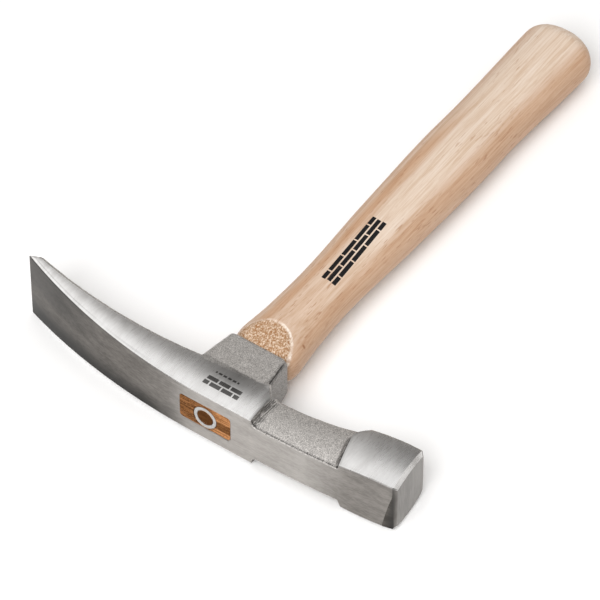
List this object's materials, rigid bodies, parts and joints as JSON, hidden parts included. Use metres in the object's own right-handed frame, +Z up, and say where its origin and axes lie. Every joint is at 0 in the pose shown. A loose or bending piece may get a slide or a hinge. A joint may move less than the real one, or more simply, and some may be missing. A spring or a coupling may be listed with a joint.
{
  "type": "brick hammer",
  "caption": "Bricklayer's hammer with a curved chisel blade, a square striking poll, a socketed eye and a wooden handle held by a wooden wedge and a ring wedge.",
  "frame": {"origin": "centre of the eye, on the flat top face of the head (the face that looks away from the handle)", "axes": "+X along the head towards the striking face, +Y down the handle towards its butt, +Z up as the hammer lies on its side"},
  "size_m": [0.2005, 0.2775, 0.036],
  "materials": {
    "forged_steel": "ground satin top, cheeks and striking end, with matte forged scale on the socket and neck",
    "handle_wood": "smooth, thinly lacquered pale wood",
    "wedge_wood": "dark oiled end grain",
    "ring_steel": "bright ground end"
  },
  "bodies": {
    "root": {"head": "forged_steel", "handle": "handle_wood", "wooden_wedge": "wedge_wood", "ring_wedge": "ring_steel"}
  },
  "joints": []
}
